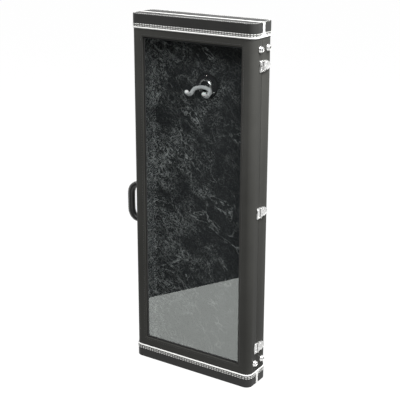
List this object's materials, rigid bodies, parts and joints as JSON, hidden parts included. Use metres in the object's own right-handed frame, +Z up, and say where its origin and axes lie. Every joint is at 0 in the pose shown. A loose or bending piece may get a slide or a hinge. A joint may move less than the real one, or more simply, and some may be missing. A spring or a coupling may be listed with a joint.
{
  "type": "guitar display case",
  "caption": "Tall hinged guitar display case with a windowed lid, draw latches, a side handle, a velvet-lined base, a padded yoke hanger and stitched end caps edged with piping.",
  "frame": {"origin": "middle of the bottom end, on the face that the case stands on", "axes": "+Z up along the case, -Y out of the window, +X towards the latches, -X towards the hinges and the handle"},
  "size_m": [0.4967, 0.107, 1.11],
  "materials": {
    "vinyl_board": "black pebbled vinyl on board",
    "leatherette": "satin",
    "white_cord": "satin",
    "velvet": "crushed velvet",
    "chrome": "polished",
    "black_rubber": "matte",
    "retainer_wood": "matte black",
    "acrylic": "clear",
    "handle_plastic": "satin",
    "grey_foam": "matte foam",
    "pale_plastic": "satin",
    "flange_plastic": "satin"
  },
  "bodies": {
    "base": {"base_shell": "vinyl_board", "base_lining": "velvet", "base_cap_top": "leatherette", "base_cap_bottom": "leatherette", "base_piping_top": "white_cord", "base_piping_bottom": "white_cord", "base_edge_strip_top": "white_cord", "base_edge_strip_bottom": "white_cord", "latch_plate_top": "chrome", "latch_plate_middle": "chrome", "latch_plate_bottom": "chrome", "hinge_base_leaf_top": "chrome", "hinge_base_leaf_middle": "chrome", "hinge_base_leaf_bottom": "chrome", "hinge_pin_top": "chrome", "hinge_pin_middle": "chrome", "hinge_pin_bottom": "chrome", "foot_base_top": "chrome", "foot_base_bottom": "chrome", "handle_bracket_top": "chrome", "handle_bracket_bottom": "chrome", "hanger_flange": "flange_plastic", "hanger_collar": "chrome"},
    "lid": {"lid_shell": "vinyl_board", "lid_lining": "velvet", "lid_cap_top": "leatherette", "lid_cap_bottom": "leatherette", "lid_piping_top": "white_cord", "lid_piping_bottom": "white_cord", "window_pane": "acrylic", "window_gasket": "black_rubber", "window_retainer": "retainer_wood", "latch_catch_top": "chrome", "latch_catch_middle": "chrome", "latch_catch_bottom": "chrome", "hinge_lid_leaf_top": "chrome", "hinge_lid_leaf_middle": "chrome", "hinge_lid_leaf_bottom": "chrome", "foot_lid_top": "chrome", "foot_lid_bottom": "chrome"},
    "lever_top": {"latch_lever_top": "chrome"},
    "lever_middle": {"latch_lever_middle": "chrome"},
    "lever_bottom": {"latch_lever_bottom": "chrome"},
    "bail_top": {"latch_bail_top": "chrome"},
    "bail_middle": {"latch_bail_middle": "chrome"},
    "bail_bottom": {"latch_bail_bottom": "chrome"},
    "plug": {"lock_plug": "chrome"},
    "handle": {"handle_grip": "handle_plastic"},
    "yoke": {"yoke_rod": "chrome", "yoke_sleeve_left": "grey_foam", "yoke_sleeve_right": "grey_foam", "yoke_ball_left": "pale_plastic", "yoke_ball_right": "pale_plastic"}
  },
  "joints": [
    {"name": "lid_hinge", "type": "hinge", "parent": "base", "child": "lid", "pos_m": [-0.2149, -0.009, 0.555], "axis": [0, 0, -1], "range_deg": [0, 100]},
    {"name": "lever_top_pivot", "type": "hinge", "parent": "base", "child": "lever_top", "pos_m": [0.2165, -0.002, 0.9885], "axis": [0, 0, -1], "range_deg": [0, 110]},
    {"name": "lever_middle_pivot", "type": "hinge", "parent": "base", "child": "lever_middle", "pos_m": [0.2165, -0.002, 0.555], "axis": [0, 0, -1], "range_deg": [0, 110]},
    {"name": "lever_bottom_pivot", "type": "hinge", "parent": "base", "child": "lever_bottom", "pos_m": [0.2165, -0.002, 0.1215], "axis": [0, 0, -1], "range_deg": [0, 110]},
    {"name": "bail_top_pivot", "type": "hinge", "parent": "lever_top", "child": "bail_top", "pos_m": [0.2151, 0.0035, 0.9885], "axis": [0, 0, -1], "range_deg": [-110, 0]},
    {"name": "bail_middle_pivot", "type": "hinge", "parent": "lever_middle", "child": "bail_middle", "pos_m": [0.2151, 0.0035, 0.555], "axis": [0, 0, -1], "range_deg": [-110, 0]},
    {"name": "bail_bottom_pivot", "type": "hinge", "parent": "lever_bottom", "child": "bail_bottom", "pos_m": [0.2151, 0.0035, 0.1215], "axis": [0, 0, -1], "range_deg": [-110, 0]},
    {"name": "lock_turn", "type": "hinge", "parent": "lid", "child": "plug", "pos_m": [0.2115, -0.0142, 0.9885], "axis": [1, 0, 0], "range_deg": [0, 90]},
    {"name": "handle_pivot", "type": "hinge", "parent": "base", "child": "handle", "pos_m": [-0.2205, 0.008, 0.504], "axis": [0, 0, -1], "range_deg": [0, 80]},
    {"name": "yoke_swivel", "type": "hinge", "parent": "base", "child": "yoke", "pos_m": [0, 0.015, 0.9], "axis": [0, 1, 0], "range_deg": [-35, 35]}
  ],
  "couplings": [
    {"joint": "bail_top_pivot", "follows": "lever_top_pivot", "ratio": -1},
    {"joint": "bail_middle_pivot", "follows": "lever_middle_pivot", "ratio": -1},
    {"joint": "bail_bottom_pivot", "follows": "lever_bottom_pivot", "ratio": -1}
  ]
}
